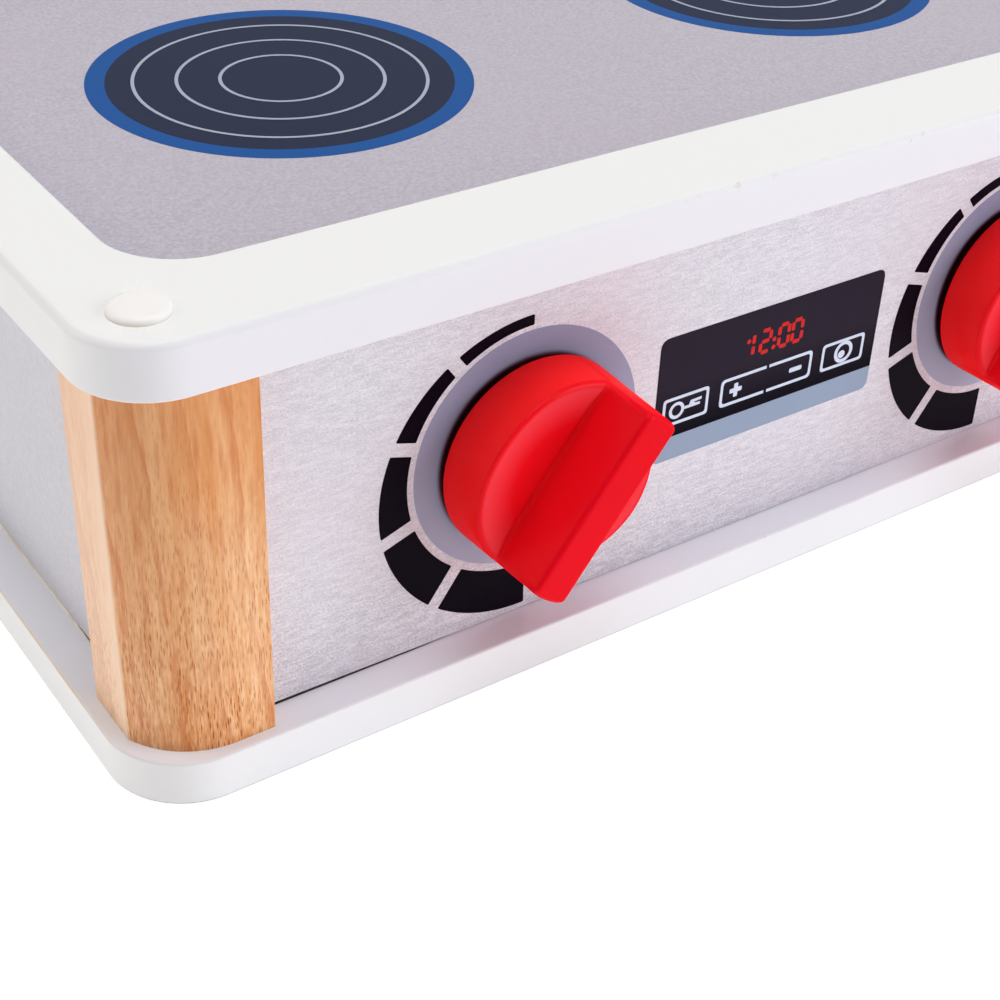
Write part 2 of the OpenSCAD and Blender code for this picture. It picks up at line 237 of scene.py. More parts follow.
class Nodes:
    """Short calls that add nodes to a tree. An input takes a number, a colour or another node's output."""

    def __init__(self, tree):
        self.tree = tree

    def feed(self, socket, value):
        if isinstance(value, bpy.types.NodeSocket):
            self.tree.links.new(value, socket)
        else:
            socket.default_value = value

    def add(self, kind, inputs=(), **settings):
        node = self.tree.nodes.new("ShaderNode" + kind)
        for key, value in settings.items():
            setattr(node, key, value)
        for key, value in dict(inputs).items():
            self.feed(node.inputs[key], value)
        return node

    def span(self, value, low, high, to_low=0.0, to_high=1.0):
        """Maps low..high of a value to to_low..to_high, held at the ends."""
        return self.add("MapRange", {"Value": value, "From Min": low, "From Max": high,
                                     "To Min": to_low, "To Max": to_high}).outputs["Result"]

    def math(self, operation, a, b=0.0):
        return self.add("Math", {0: a, 1: b}, operation=operation).outputs[0]

    def times(self, a, b):
        return self.math("MULTIPLY", a, b)

    def plus(self, a, b):
        return self.math("ADD", a, b)

    def absolute(self, value):
        return self.math("ABSOLUTE", value)


class Surface(Nodes):
    """A material around one Principled shader."""

    def __init__(self, name, color=(200, 200, 200), roughness=0.5, specular=0.25, metallic=0.0):
        self.material = bpy.data.materials.new(name)
        self.material.use_nodes = True
        super().__init__(self.material.node_tree)
        self.shader = self.tree.nodes["Principled BSDF"]
        self.set("Base Color", linear(*color))
        self.set("Roughness", roughness)
        self.set("Specular IOR Level", specular)
        self.set("Metallic", metallic)

    def set(self, socket, value):
        self.feed(self.shader.inputs[socket], value)

    def mix(self, fac, a, b):
        node = self.add("Mix", {"Factor": fac, COLOR_A: a, COLOR_B: b}, data_type="RGBA")
        return node.outputs[COLOR_OUT]

    def position(self):
        """X, Y and Z in metres, in the frame at rest."""
        return self.add("SeparateXYZ", {0: self.add("TexCoord").outputs["Object"]}).outputs

    def facing(self):
        """X, Y and Z of the surface's normal, in the frame at rest."""
        return self.add("SeparateXYZ", {0: self.add("TexCoord").outputs["Normal"]}).outputs

    def place(self, scale, offset=(0, 0, 0)):
        """The position, scaled along each axis (per metre) and moved."""
        coords = self.add("TexCoord").outputs["Object"]
        return self.add("Mapping", {"Vector": coords, "Scale": scale, "Location": offset}).outputs["Vector"]

    def noise(self, scale, detail=2, roughness=0.5, distortion=0, offset=(0, 0, 0)):
        """Noise whose features are about 1/scale metres along each axis."""
        return self.add("TexNoise", {"Vector": self.place(scale, offset), "Scale": 1, "Detail": detail,
                                     "Roughness": roughness, "Distortion": distortion}).outputs["Fac"]

    def cells(self, scale, offset=(0, 0, 0)):
        """Distance from the nearest of many scattered points, 1/scale metres apart along each axis."""
        vector = self.place(scale, offset)
        return self.add("TexVoronoi", {"Vector": vector, "Scale": 1}).outputs["Distance"]

    def attribute(self, name):
        return self.add("Attribute", attribute_name=name).outputs["Fac"]

    def bump(self, height, distance, strength=1.0):
        node = self.add("Bump", {"Height": height, "Strength": strength, "Distance": distance})
        self.set("Normal", node.outputs["Normal"])


def painted_board():
    """White lacquer on board, faintly mottled, worn where the attribute says, and with painted light: tone by
    facing and height, darker arrises, and a painted contact shade on the base's lower arris.
    """
    s = Surface("white_board_paint", roughness=0.42)
    mottle = s.span(s.noise((14, 14, 14), detail=3), 0.3, 0.7)
    paint = s.mix(mottle, linear(240, 239, 242), linear(237, 236, 238))
    # Painted light: faces looking up are lighter high up and bluish grey low down, as painted shade on the base's
    # ledge under the frame; faces looking to the front are lilac high up.
    facing = s.facing()
    high = s.span(s.position()["Z"], 0.02, 0.1)
    top = s.mix(high, linear(232, 233, 241), linear(240, 239, 239))
    paint = s.mix(s.span(facing["Z"], 0.6, 0.95), paint, top)
    paint = s.mix(s.times(s.span(facing["Y"], -0.6, -0.95), high), paint, linear(236, 232, 238))
    specks = s.span(s.noise((330, 330, 330), detail=3, roughness=0.7), 0.6, 0.7)
    places = s.span(s.noise((30, 30, 30)), 0.5, 0.62)
    wear_and_painted_light = s.attribute("wear_and_painted_light")
    # Painted shade: a little darker where the attribute is above 0.2, as on the rounded arrises.
    paint = s.mix(s.span(wear_and_painted_light, 0.2, 1.0, 0.0, 0.6), paint, linear(224, 221, 226))
    worn = s.times(s.times(wear_and_painted_light, 0.6), s.times(specks, places))
    paint = s.mix(worn, paint, linear(200, 168, 130))
    # Painted contact shade: a grey line along the base's lower arris, where the attribute is negative.
    contact_shade = s.times(s.span(wear_and_painted_light, -0.3, -0.9), 0.8)
    paint = s.mix(contact_shade, paint, linear(130, 132, 144))
    ragged = s.span(s.noise((60, 60, 60), detail=3), 0.3, 0.6, 0.25, 0.9)
    bare = s.times(s.span(wear_and_painted_light, 1.1, 1.7), ragged)
    s.set("Base Color", s.mix(bare, paint, linear(230, 202, 168)))
    s.bump(s.noise((700, 700, 700), detail=3), 0.00004, 0.5)
    return s.material


def raw_edge():
    """Bare board, pale and a little uneven."""
    s = Surface("raw_board_edge", roughness=0.7)
    uneven = s.span(s.noise((260, 260, 260), detail=3), 0.35, 0.65)
    s.set("Base Color", s.mix(uneven, linear(255, 248, 230), linear(238, 222, 198)))
    s.bump(uneven, 0.00005, 0.5)
    return s.material


def wood_tone(s, position):
    """Soft bands, leaning year rings and short strokes; darker above, as painted shade under the frame, darker
    outside and paler in the middle.
    """
    bands = s.span(s.noise((120, 120, 8), detail=4, roughness=0.6, distortion=0.3), 0.36, 0.66)
    tone = s.mix(bands, linear(252, 197, 143), linear(225, 141, 64))
    across = s.times(s.noise((45, 45, 38)), 0.6)
    for axis, per_metre in zip("XYZ", YEAR_RINGS):
        across = s.plus(s.times(position[axis], per_metre), across)
    ring = s.span(s.math("FRACT", across), 0.76, 0.97)
    ring = s.times(ring, s.span(s.noise((60, 60, 30), offset=(4, 0, 0)), 0.3, 0.6, 0.25, 0.75))
    tone = s.mix(ring, tone, linear(208, 112, 34))
    strokes = s.span(s.cells((520, 520, 60), offset=(3, 1, 0)), 0.42, 0.15)
    tone = s.mix(s.times(strokes, s.span(position["Z"], 0.02, 0.1, 0.2, 0.6)), tone, linear(206, 112, 44))
    # Painted shade: darker towards the top, under the frame's overhang.
    tone = s.mix(s.span(position["Z"], 0.05, 0.11, 0.0, 0.5), tone, linear(208, 128, 66))
    outer = s.absolute(position["X"])
    tone = s.mix(s.span(outer, 0.171, 0.178, 0.0, 0.3), tone, linear(200, 112, 40))
    heart = s.span(s.absolute(s.plus(position["Z"], -0.048)), 0.034, 0.014, 0.0, 0.26)
    return s.mix(s.times(heart, s.span(outer, 0.174, 0.168)), tone, linear(255, 222, 180))


def beech():
    """Varnished beech with upright fibres and fine dark flecks; its side faces and a line along its arris are
    paler, as a painted highlight.
    """
    s = Surface("beech_varnish")
    s.set("Coat Roughness", 0.3)
    position = s.position()
    tone = wood_tone(s, position)
    rough = s.span(position["Z"], 0.02, 0.085, 0.85, 0.2)
    fibres = s.noise((2000, 2000, 180), detail=4, roughness=0.7)
    tone = s.mix(s.times(s.span(fibres, 0.46, 0.66, 0.0, 0.75), rough), tone, linear(196, 104, 30))
    tone = s.mix(s.times(s.span(fibres, 0.47, 0.3, 0.0, 0.65), rough), tone, linear(255, 224, 188))
    crowding = s.times(s.span(s.noise((70, 70, 22)), 0.36, 0.6, 0.3, 1.0), rough)
    flecks = s.times(s.span(s.cells((2200, 2200, 260)), 0.36, 0.2), crowding)
    tone = s.mix(flecks, tone, linear(150, 62, 10))
    # Painted highlight: faces looking along X, and the arris line where the attribute is set, are paler.
    side = s.span(s.absolute(s.facing()["X"]), 0.93, 0.99, 0.0, 0.42)
    pale = s.math("MAXIMUM", side, s.times(s.attribute("wear_and_painted_light"), 0.7))
    s.set("Base Color", s.mix(pale, tone, linear(255, 226, 198)))
    s.set("Roughness", s.span(fibres, 0.3, 0.7, 0.36, 0.5))
    s.set("Specular IOR Level", s.span(flecks, 0.0, 0.6, 0.3, 0.02))
    s.set("Coat Weight", s.span(flecks, 0.0, 0.6, 0.3, 0.0))
    s.bump(s.math("SUBTRACT", s.math("SUBTRACT", 1.0, fibres), flecks), 0.00004, 0.6)
    return s.material


def brush_marks(s):
    """Fine horizontal brush marks, as pressed and printed on the front panel, from 0 to 1."""
    fine = s.noise((1500, 1500, 4400), detail=3, roughness=0.7)
    coarse = s.noise((330, 330, 1600), detail=3, roughness=0.6, offset=(3, 0, 0))
    return s.span(s.plus(fine, s.times(coarse, 0.45)), 0.6, 0.86)


def front_print():
    """Brushed metal as a print: pale marks on grey that darkens at the foot, with a faint blush."""
    s = Surface("front_panel_print")
    marks = brush_marks(s)
    dark = s.mix(s.span(s.position()["Z"], 0.02, 0.05), linear(186, 180, 190), linear(203, 199, 209))
    tone = s.mix(marks, dark, linear(239, 236, 243))
    blush = s.span(s.noise((22, 22, 22)), 0.4, 0.7)
    s.set("Base Color", s.mix(s.times(blush, 0.3), tone, linear(226, 212, 222)))
    s.bump(marks, 0.00004, 0.7)
    return s.material


def ink_over_marks(s, tone, show):
    """Lays a tone over the panel's brush marks, which show through a little."""
    marks = brush_marks(s)
    s.set("Base Color", s.mix(s.times(marks, show), tone, linear(214, 204, 214)))
    s.bump(marks, 0.00002, 0.4)


def printed_ink(name, color, low=None, span=None):
    """Printed ink. low is its colour at the lower of the two heights in span."""
    s = Surface(name, color, specular=0.03)
    tone = linear(*color)
    if low:
        tone = s.mix(s.span(s.position()["Z"], *span), linear(*low), tone)
    ink_over_marks(s, tone, 0.003)
    return s.material


def ring_print():
    """The dials' grey ring: lighter at its foot, and a painted shade close under the knob, dark red from the
    knob's bounce.
    """
    s = Surface("ink_ring_grey", specular=0.06)
    position = s.position()
    tone = s.mix(s.span(position["Z"], 0.03, 0.09), linear(174, 180, 204), linear(150, 150, 178))
    axis = AXES["left"] * MM
    out = s.math("SUBTRACT", s.absolute(position["X"]), abs(axis.x))
    up = s.math("SUBTRACT", position["Z"], axis.z)
    radius = s.math("SQRT", s.plus(s.times(out, out), s.times(up, up)))
    # Painted shade under the knob, deepest next to its foot.
    shade = s.span(radius, RING_SHADE[0] * MM, RING_SHADE[1] * MM, 0.0, 0.85)
    tone = s.mix(shade, tone, linear(104, 36, 60))
    deep_shade = s.span(radius, RING_DEEP_SHADE[0] * MM, RING_DEEP_SHADE[1] * MM)
    ink_over_marks(s, s.mix(deep_shade, tone, linear(40, 0, 5)), 0.012)
    return s.material


def side_paint():
    """Silver-grey paint with a very fine speckle."""
    s = Surface("side_panel_paint")
    speckle = s.span(s.noise((900, 900, 900)), 0.35, 0.65)
    tone = s.mix(speckle, linear(206, 204, 214), linear(215, 212, 221))
    cloud = s.span(s.noise((18, 18, 18)), 0.3, 0.7)
    s.set("Base Color", s.mix(s.times(cloud, 0.3), tone, linear(205, 204, 215)))
    s.bump(speckle, 0.00003, 0.4)
    return s.material


def hob_print():
    """Speckled mauve-grey print."""
    s = Surface("hob_panel_print", roughness=0.45)
    speckle = s.span(s.noise((1100, 1100, 1100), roughness=0.7), 0.34, 0.66)
    tone = s.mix(speckle, linear(173, 165, 177), linear(193, 188, 199))
    cloud = s.span(s.noise((16, 16, 16), detail=3), 0.32, 0.7)
    s.set("Base Color", s.mix(s.times(cloud, 0.4), tone, linear(188, 179, 193)))
    s.bump(speckle, 0.00003, 0.4)
    return s.material


def moulded(name, color, roughness):
    """Moulded plastic: slight tonal drift and a fine grain, tan ivory as painted shade where the attribute is set.
    """
    s = Surface(name, color, roughness, specular=0.3)
    drift = s.span(s.noise((60, 60, 60), detail=3), 0.3, 0.7, 0.0, 0.12)
    darker = tuple(c * 0.85 for c in linear(*color)[:3]) + (1.0,)
    tone = s.mix(drift, linear(*color), darker)
    s.set("Base Color", s.mix(s.times(s.attribute("wear_and_painted_light"), 0.6), tone, linear(206, 194, 168)))
    s.bump(s.noise((1800, 1800, 1800)), 0.00002, 0.5)
    return s.material


def red_plastic():
    """Matt red moulding under a thin clear skin, with painted light given by the attribute: lighter side and front
    than the bar's top, and a painted highlight inside each scoop's rim.
    """
    s = Surface("knob_red_plastic", specular=0.0)
    drift = s.span(s.noise((60, 60, 60), detail=3), 0.3, 0.7)
    tone = s.mix(drift, linear(238, 4, 24), linear(232, 3, 28))
    wear_and_painted_light = s.attribute("wear_and_painted_light")
    # Painted light: the side is made lighter in full, the front a third so, the bar's top not at all.
    lift = s.math("MAXIMUM", s.span(wear_and_painted_light, BAR_TOP, 0.0, 0.0, 0.34), s.span(wear_and_painted_light, 2 * BAR_TOP, SKIRT / 2))
    tone = s.mix(lift, tone, linear(255, 30, 34))
    # Painted highlight: pink just inside each scoop's rim.
    s.set("Base Color", s.mix(s.span(wear_and_painted_light, 0.0, 1.0, 0.0, 0.3), tone, linear(255, 110, 124)))
    s.set("Coat Weight", 0.14)
    s.set("Coat Roughness", 0.22)
    s.bump(s.noise((1800, 1800, 1800)), 0.00002, 0.5)
    return s.material


def steel(name, color=(190, 190, 194)):
    """Metal with fine turned lines."""
    s = Surface(name, color, roughness=0.3, metallic=1.0)
    lines = s.span(s.noise((400, 3000, 400)), 0.3, 0.7)
    s.set("Base Color", s.mix(lines, linear(*color), linear(150, 150, 156)))
    s.bump(lines, 0.00001, 0.4)
    return s.material


def softwood():
    """Unfinished wood with its grain along X."""
    s = Surface("bare_softwood", roughness=0.75)
    bands = s.span(s.noise((6, 260, 260), distortion=0.6), 0.35, 0.65)
    s.set("Base Color", s.mix(bands, linear(222, 192, 148), linear(196, 156, 108)))
    s.bump(bands, 0.0001, 0.4)
    return s.material


def felt():
    """Dark matted fibres."""
    s = Surface("dark_felt", roughness=0.95)
    fluff = s.noise((2500, 2500, 2500), detail=3)
    s.set("Base Color", s.mix(fluff, linear(40, 40, 42), linear(70, 70, 74)))
    s.bump(fluff, 0.0001)
    return s.material


# ---- Mesh building, in millimetres ----

def linked(name, data):
    """A new object in the scene."""
    obj = bpy.data.objects.new(name, data)
    bpy.context.scene.collection.objects.link(obj)
    return obj


def piece(name, verts, faces, material, body=ROOT, wear_and_painted_light=None, sharp=32):
    """A closed mesh as a piece of its own that rides on a body."""
    mesh = bpy.data.meshes.new(name)
    mesh.from_pydata([Vector(v) * MM for v in verts], [], faces)
    # The attribute holds both real wear and painted light for the materials.
    if wear_and_painted_light:
        mesh.attributes.new("wear_and_painted_light", "FLOAT", "POINT").data.foreach_set("value", wear_and_painted_light)
    obj = linked(name, mesh)
    mesh.materials.append(material)
    tidy_normals(mesh, sharp)
    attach(obj, body)
    return obj


def tidy_normals(mesh, sharp):
    bm = bmesh.new()
    bm.from_mesh(mesh)
    bmesh.ops.remove_doubles(bm, verts=bm.verts, dist=1e-7)
    bmesh.ops.recalc_face_normals(bm, faces=bm.faces)
    bm.to_mesh(mesh)
    bm.free()
    mesh.shade_smooth()
    mesh.set_sharp_from_angle(angle=math.radians(sharp))


def skin(rings, closed=False):
    """Vertices and faces over equal rings. closed joins the last to the first, else both ends are filled."""
    n = len(rings[0])
    verts = [p for ring in rings for p in ring]
    faces = []
    for k in range(len(rings) if closed else len(rings) - 1):
        a, b = k * n, (k + 1) % len(rings) * n
        faces += [(a + i, a + (i + 1) % n, b + (i + 1) % n, b + i) for i in range(n)]
    if not closed:
        faces += [tuple(reversed(range(n))), tuple(range(len(verts) - n, len(verts)))]
    return verts, faces


def rounded_rectangle(w, d, r, steps=CORNER_STEPS):
    """Points about the origin, anticlockwise from the front right corner."""
    points = []
    for sx, sy, start in ((1, -1, -90), (1, 1, 0), (-1, 1, 90), (-1, -1, 180)):
        for i in range(steps + 1):
            a = math.radians(start + 90 * i / steps)
            points.append((sx * (w / 2 - r) + r * math.cos(a), sy * (d / 2 - r) + r * math.sin(a)))
    return points


def edge_path(z0, z1, low, high, hold=0.5, steps=5):
    """(inset, height, wear and painted shade) up a board's edge, whose lower and upper arris are rounded to low
    and high.

    hold is the flat stretch that keeps its own rings beside each arris.
    """
    path = [(low + hold, z0, 0)]
    for i in range(steps + 1):
        a = math.pi / 2 * i / steps
        path.append((low * (1 - math.sin(a)), z0 + low * (1 - math.cos(a)), math.sin(2 * a)))
    path += [(0, z0 + low + hold, 0), (0, z1 - high - hold, 0)]
    for i in range(steps + 1):
        a = math.pi / 2 * i / steps
        path.append((high * (1 - math.cos(a)), z1 - high * (1 - math.sin(a)), math.sin(2 * a)))
    return path + [(high + hold, z1, 0)]


def board_rings(w, d, r, path):
    """Rings of a board's outside, with each ring's value for wear and painted shade."""
    rings = [[(x, y, z) for x, y in rounded_rectangle(w - 2 * t, d - 2 * t, r - t)] for t, z, _ in path]
    return rings, [value for _, _, value in path]


def opening_rings(w, d, r, path):
    """The same for an opening's wall: the insets reach into the board, so the outline grows."""
    rings = [[(x, y, z) for x, y in rounded_rectangle(w + 2 * t, d + 2 * t, r + t)] for t, z, _ in path]
    return rings, [value for _, _, value in path]


def per_point(rings, values):
    """Each ring's value, once for every point of the ring."""
    return [v for ring, v in zip(rings, values) for _ in ring]


def circle(cx, cy, r, steps=96):
    angles = (2 * math.pi * i / steps for i in range(steps))
    return [(cx + r * math.cos(a), cy + r * math.sin(a)) for a in angles]


def lathe(profile, centre, steps=48):
    """Vertices and faces of a round solid about a vertical axis, from a profile of (radius, height)."""
    cx, cy, cz = centre
    return skin([[(x, y, cz + z) for x, y in circle(cx, cy, r, steps)] for r, z in profile])


def screw_places():
    """Plan positions of the four corner screws."""
    for sx in (-1, 1):
        for sy in (-1, 1):
            yield sx * (BODY_W / 2 - SCREW_INSET), sy * (BODY_D / 2 - SCREW_INSET)


def drill(obj, z, profile):
    """Cuts a round hole at each corner screw, from a profile of (radius, height above z), bottom to top."""
    for x, y in screw_places():
        mesh = bpy.data.meshes.new("cutter")
        verts, faces = lathe(profile, (x, y, z))
        mesh.from_pydata([Vector(v) * MM for v in verts], [], faces)
        tidy_normals(mesh, 30)
        tool = linked("cutter", mesh)
        cut = obj.modifiers.new("cut", "BOOLEAN")
        cut.object, cut.operation, cut.solver = tool, "DIFFERENCE", "EXACT"
        apply_modifiers(obj)
        bpy.data.objects.remove(tool)
    flat = obj.modifiers.new("flat", "WEIGHTED_NORMAL")
    flat.keep_sharp = True
    apply_modifiers(obj)


def apply_modifiers(obj):
    graph = bpy.context.evaluated_depsgraph_get()
    evaluated = obj.evaluated_get(graph)
    mesh = bpy.data.meshes.new_from_object(evaluated, preserve_all_data_layers=True, depsgraph=graph)
    obj.modifiers.clear()
    obj.data = mesh


# ---- Boards, posts and caps ----

def make_base(material):
    """The base, whose upper left edge is worn to the board and whose lower arris has a painted contact shade."""
    path = edge_path(base_low.z, base_high.z, BOARD_EASE, BOARD_EASE)
    rings, wear_and_painted_light = board_rings(BODY_W, BODY_D, BASE_CORNER_R, path)
    verts, faces = skin(rings)
    shown = per_point(rings, wear_and_painted_light)
    for i, (x, y, z) in enumerate(verts):
        inset = x + BODY_W / 2
        if inset < WORN_REACH and base_high.z - ARRIS_BAND < z < base_high.z - 0.1 * ARRIS_BAND:
            worn = BARE * (1 - inset / 4) if y > 0 else HALF_BARE * (1 - 0.4 * inset)
            shown[i] = max(worn, shown[i])
        # The lower arris gets the painted contact shade.
        if 0.04 * ARRIS_BAND < z - base_low.z < ARRIS_BAND:
            shown[i] = CONTACT_SHADE
    base = piece("base_board_painted", verts, faces, material, wear_and_painted_light=shown)
    countersink = [(SINK_R, -1), (SINK_R, SINK_RIM_H), (SHANK_R, SINK_H), (SHANK_R, THROUGH)]
    drill(base, base_low.z, countersink)
    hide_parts("base_board")


def make_frame(material):
    """The top frame, with a rounded opening and a rebate under it for the hob panel."""
    path = edge_path(top_low.z, top_high.z, BOARD_EASE, FRAME_EDGE_R)
    outside, wear_and_shade_out = board_rings(BODY_W, BODY_D, FRAME_CORNER_R, path)
    w, d = BODY_W - 2 * FRAME_BAR_X, BODY_D - 2 * FRAME_BAR_Y
    shelf = top_low.z + REBATE_H
    path = edge_path(shelf, top_high.z, OPENING_EASE, OPENING_EDGE_R, hold=0.4)
    inside, wear_and_shade_in = opening_rings(w, d, FRAME_CORNER_R, path)
    around = rounded_rectangle(w + 2 * REBATE_W, d + 2 * REBATE_W, FRAME_CORNER_R)
    rebate = [[(x, y, z) for x, y in around] for z in (shelf, top_low.z)]
    rings = outside + inside[::-1] + rebate
    wear_and_painted_light = wear_and_shade_out + wear_and_shade_in[::-1] + [0, 0]
    verts, faces = skin(rings, closed=True)
    top = piece("top_frame_painted", verts, faces, material, wear_and_painted_light=per_point(rings, wear_and_painted_light))
    drill(top, top_high.z, [(BORE_R, -BORE_DEPTH), (BORE_R, 2)])
    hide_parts("top_frame")


def post_outline():
    """Plan of the front left post: round outer corner, eased arrises and the two panel grooves."""
    x0, y0, x1, y1 = post_low.x, post_low.y, post_high.x, post_high.y
    cx, cy = x0 - POST_ARRIS + POST_ROUND_R, y0 + POST_ROUND_R
    start = math.acos((cx - x0) / POST_ROUND_R)
    steps = range(POST_ROUND_STEPS + 1)
    arc = [(cx - POST_ROUND_R * math.cos(a), cy - POST_ROUND_R * math.sin(a))
           for a in (start + (math.pi / 2 - start) * i / POST_ROUND_STEPS for i in steps)]
    front_y0, front_y1, front_x = FACE_Y - GROOVE_SLACK, panel_high.y, x1 - GROOVE_DEPTH
    left_x0, left_x1, left_y = side_low.x - GROOVE_SLACK, side_high.x, y1 - GROOVE_DEPTH
    points = arc + [(x1, y0), (x1, front_y0), (front_x, front_y0), (front_x, front_y1), (x1, front_y1),
                    (x1, y1), (left_x1, y1), (left_x1, left_y), (left_x0, left_y), (left_x0, y1), (x0, y1)]
    eased = arc[0], (x1, y0), (x1, y1), (x0, y1)
    return soften(points, {points.index(p): POST_EASE for p in eased})


def soften(points, radii, steps=4):
    """Rounds the corners of a plan whose index is in radii, by a short arc through the corner's two sides."""
    result = []
    for i, point in enumerate(points):
        r = radii.get(i, 0) if isinstance(radii, dict) else radii
        if not r:
            result.append(point)
            continue
        p, a, b = Vector(point), Vector(points[i - 1]), Vector(points[(i + 1) % len(points)])
        va, vb = a - p, b - p
        half = va.angle(vb) / 2
        reach = min(r / math.tan(half), 0.49 * va.length, 0.49 * vb.length)
        start, end = p + va.normalized() * reach, p + vb.normalized() * reach
        for k in range(steps + 1):
            t = k / steps
            q = start * (1 - t) ** 2 + p * 2 * t * (1 - t) + end * t * t
            result.append((q.x, q.y))
    return result


def make_posts(material):
    """The four posts, mirrored from the front left one, each with a painted highlight line on the arris beside its
    round corner.
    """
    plan = post_outline()
    reach = math.sqrt(POST_ROUND_R ** 2 - (POST_ROUND_R - POST_ARRIS) ** 2)
    arris = (post_low.x, post_low.y + POST_ROUND_R - reach)
    # The attribute marks the arris line that gets the painted highlight.
    wear_and_painted_light = [1.0 if math.dist(p, arris) < POST_HIGHLIGHT_LINE else 0.0 for p in plan] * 2
    for end, sy in (("front", 1), ("rear", -1)):
        for side, sx in (("left", 1), ("right", -1)):
            rings = [[(sx * x, sy * y, z) for x, y in plan] for z in (post_low.z, post_high.z)]
            verts, faces = skin(rings)
            name = end + "_" + side
            obj = piece("beech_post_" + name, verts, faces, material, wear_and_painted_light=wear_and_painted_light)
            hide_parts("post_" + name)


def make_caps(material):
    """The screw caps: a stem in the frame's hole, a bevelled foot, a rounded edge and a slight dome."""
    profile = [(CAP_STEM_R, -CAP_STEM_H), (CAP_STEM_R, 0), (CAP_R + CAP_FLARE, 0), (CAP_R + 0.03, CAP_FLARE)]
    edge_z = CAP_H - CAP_DOME - CAP_EDGE_R
    for i in range(1, 10):
        a = math.radians(10 * i)
        profile.append((CAP_R - CAP_EDGE_R * (1 - math.cos(a)), edge_z + CAP_EDGE_R * math.sin(a)))
    profile += [(CAP_R * 0.55, CAP_H - 0.02), (0.6, CAP_H)]
    verts, faces = [], []
    for x, y in screw_places():
        v, f = lathe(profile, (x, y, top_high.z))
        faces += [tuple(i + len(verts) for i in face) for face in f]
        verts += v
    # Painted shade: a tan band round each cap's foot, where it meets the frame.
    foot = [1.0 if 0 <= z - top_high.z < 0.4 else 0.0 for _, _, z in verts]
    caps = piece("screw_caps_moulded", verts, faces, material, wear_and_painted_light=foot)
    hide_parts("screw_caps")


# ---- Panels ----

def make_front_panel(material):
    """The printed front, whose gap to the base opens towards the left post."""
    foot = [(x, base_high.z + gap) for x, gap in FRONT_GAPS]
    holes = [circle(axis.x, axis.z, SPINDLE_HOLE_R, 48) for axis in AXES.values()]
    shape = {"outer": foot + [(panel_high.x, panel_high.z), (panel_low.x, panel_high.z)], "holes": holes}
    obj = plate("front_panel_printed", [shape], material,
                lambda x, z, h: (x, panel_high.y - h, z), thickness=panel_high.y - FACE_Y)
    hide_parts("front_panel")


def make_left_panel(material):
    """The left side, resting on the base but for a slit beside the front post."""
    foot = [(y, base_high.z + gap) for y, gap in SIDE_GAPS]
    shape = foot + [(side_high.y, side_high.z), (side_low.y, side_high.z)]
    obj = plate("left_panel_painted", [shape], material,
                lambda y, z, h: (side_high.x - h, y, z), thickness=side_high.x - side_low.x)
    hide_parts("left_panel")


def on_base(x, y, h):
    return x, y, base_high.z + h


def make_sills(shade_strip_material, line_material):
    """Dark felt strips on the base as painted shade where two panels stand off it, seen through the gaps, and a
    raw line at the left panel's foot.

    Each strip lies just behind its panel's face, and slants back where the gap above it closes.
    """
    front_x, side_x = panel_low.x + 0.5, side_low.x
    shade_strips = {
        "front": [(front_x, FACE_Y + 0.05), (SILL_SLOPE_X, FACE_Y + 0.05), (SILL_X1, FACE_Y + 1),
                  (SILL_X1, panel_high.y), (front_x, panel_high.y)],
        "left": [(side_x + 0.02, side_low.y + 0.5), (side_high.x, side_low.y + 0.5), (side_high.x, SLIT_Y),
                 (side_x + 0.4, SLIT_Y), (side_x + 0.02, SLIT_Y - 2)],
    }
    # Painted shade: the dark strips stand for the shade inside the gaps.
    for name, plan in shade_strips.items():
        plate("sill_shade_strip_" + name, [plan], shade_strip_material, on_base, thickness=SILL_T)
    line_x, front_y, rear_y = side_x - RAW_LINE_W, post_high.y, -post_high.y
    line = [(line_x, front_y), (side_x, front_y), (side_x, rear_y), (line_x, rear_y)]
    plate("sill_line_left", [line], line_material, on_base, thickness=RAW_LINE_T)


# ---- Knobs ----

def grip_height(u):
    """Height of a knob's front at distance u from the middle of its grip bar."""
    wall_u, floor_u = BAR_HALF + BAR_DRAFT, BAR_HALF + BAR_DRAFT + FILLET
    if u <= BAR_HALF - BAR_EDGE:
        return KNOB_TOP
    if u <= BAR_HALF:
        return KNOB_TOP - BAR_EDGE + math.sqrt(max(BAR_EDGE ** 2 - (u - BAR_HALF + BAR_EDGE) ** 2, 0))
    if u <= wall_u:
        t = (u - BAR_HALF) / BAR_DRAFT
        return (KNOB_TOP - BAR_EDGE) * (1 - t) + (FLOOR_H + FILLET) * t
    if u <= floor_u:
        return FLOOR_H + FILLET - math.sqrt(max(FILLET ** 2 - (floor_u - u) ** 2, 0))
    return FLOOR_H + FLOOR_RISE * ((u - floor_u) / (KNOB_R + 1 - floor_u)) ** FLOOR_POWER


def skirt_radius(h):
    """Radius of a knob's tapered side at height h above the panel."""
    return KNOB_R - (KNOB_R - KNOB_FRONT_R) * (h - KNOB_GAP) / (KNOB_TOP - KNOB_GAP)


def grip_point(u, v):
    """A point on a knob's front, with rounded rim and bar ends, and a groove along the bar's foot."""
    d = max(skirt_radius(grip_height(abs(u))) - math.hypot(u, v), 0)
    drop = RIM_R - math.sqrt(RIM_R ** 2 - (RIM_R - d) ** 2) if d < RIM_R else 0
    off = abs(abs(u) - BAR_HALF - BAR_DRAFT - BAR_GROOVE_W / 2) / BAR_GROOVE_W
    if off < 1:
        share = min(max(d - BAR_GROOVE_INSET, 0) / BAR_GROOVE_FADE, 1)
        drop += BAR_GROOVE_D * math.cos(math.pi / 2 * off) ** 2 * share
    return u, v, grip_height(abs(u) + min(drop, RIM_R)) - drop


